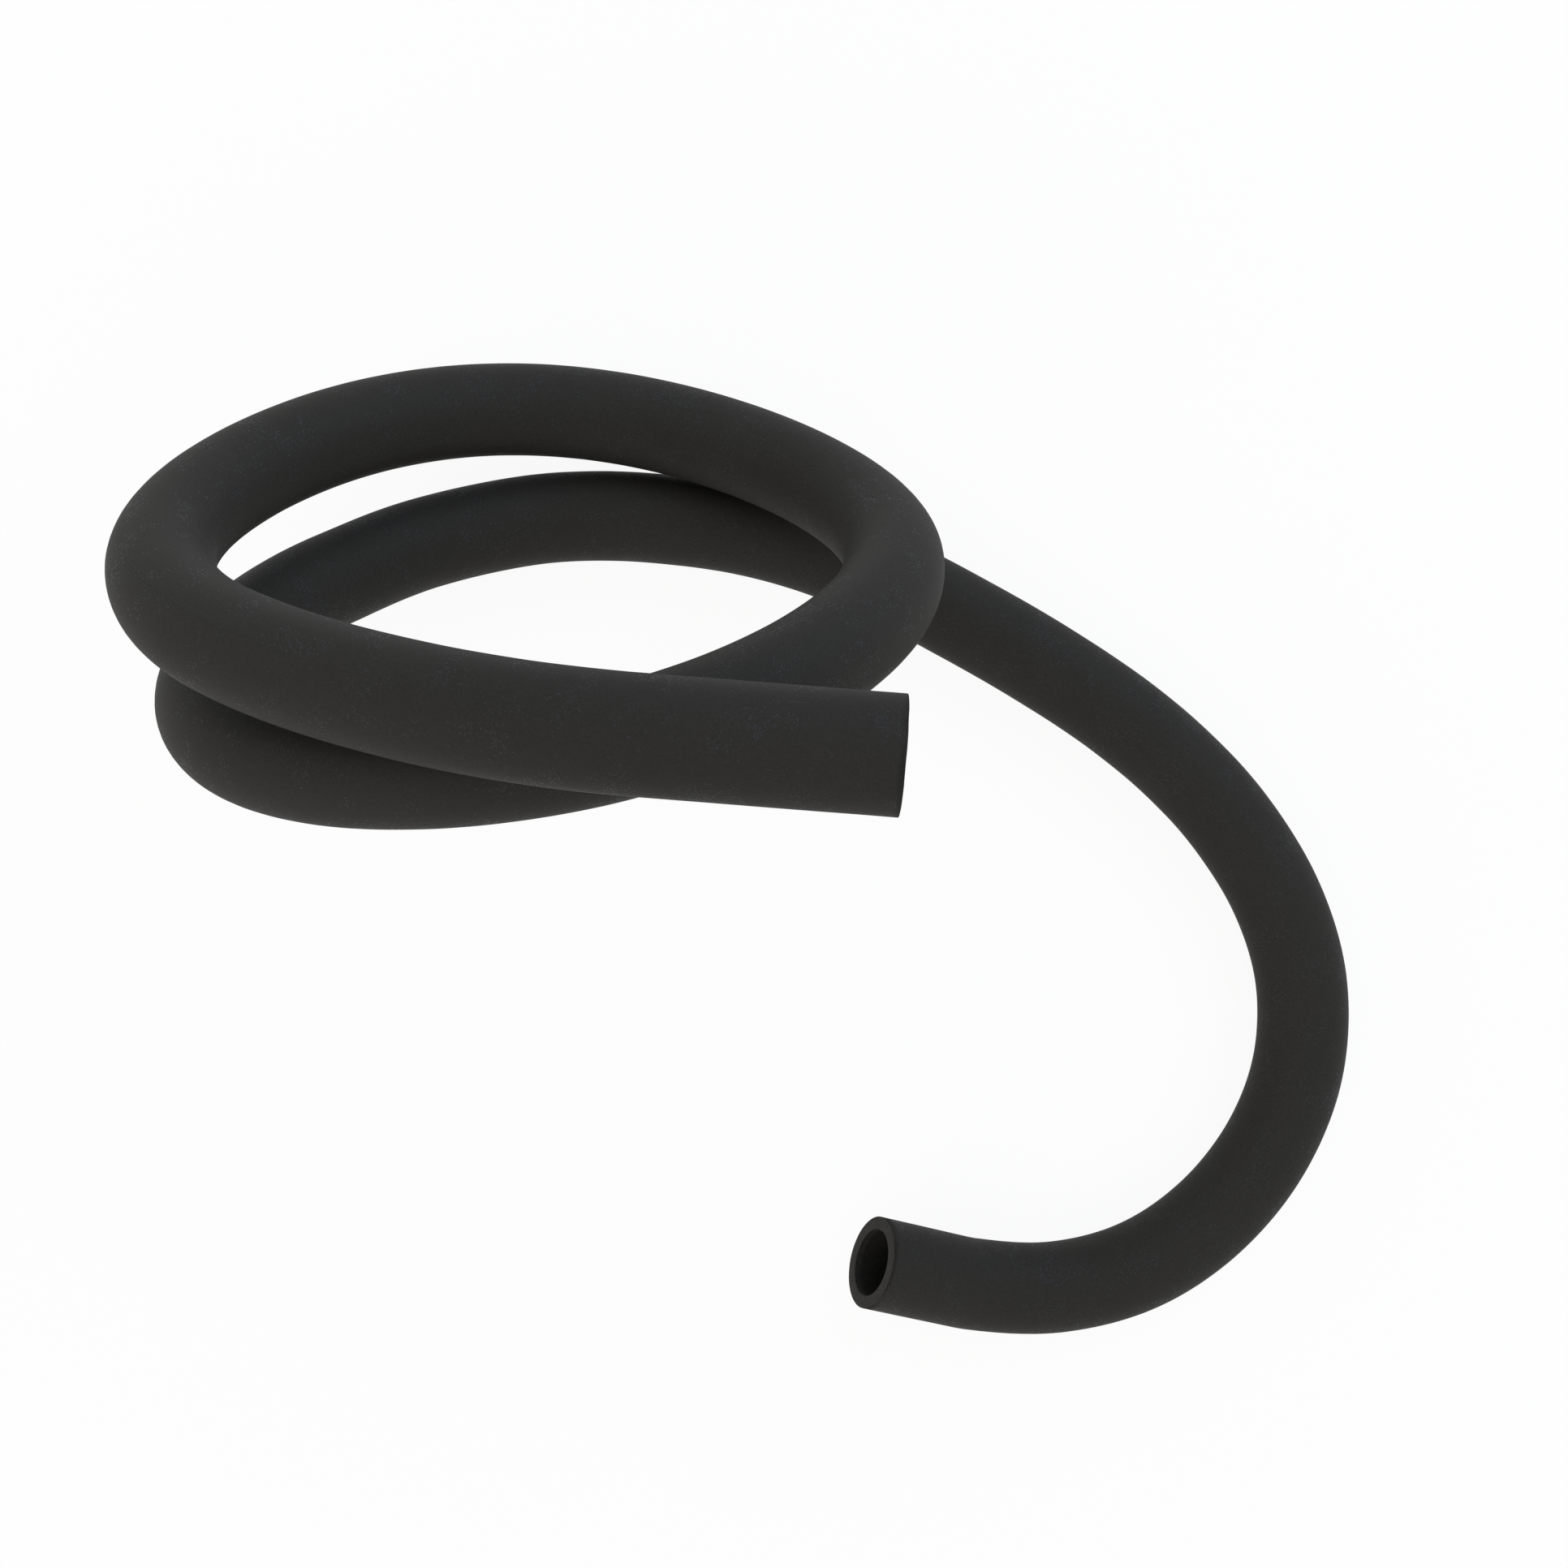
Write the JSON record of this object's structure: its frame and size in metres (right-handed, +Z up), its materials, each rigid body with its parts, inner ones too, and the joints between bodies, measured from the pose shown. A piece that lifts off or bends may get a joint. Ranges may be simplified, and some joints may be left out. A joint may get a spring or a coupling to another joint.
{
  "type": "soaker hose",
  "caption": "Bare length of black porous rubber soaker hose, cut square at both ends, with a leaning coil and a free tail curving round on the ground.",
  "frame": {"origin": "centre of the hose's footprint, on the surface that it lies on", "axes": "+Z up; +X the long way across, from the coil's free side towards the bend of the tail; +Y from the tail towards the coil"},
  "size_m": [0.2275, 0.1932, 0.1417],
  "materials": {
    "porous_rubber": "matt, finely pitted porous rubber"
  },
  "bodies": {
    "root": {"inlet_end": "porous_rubber", "coil": "porous_rubber", "free_run": "porous_rubber", "outlet_end": "porous_rubber"}
  },
  "joints": []
}
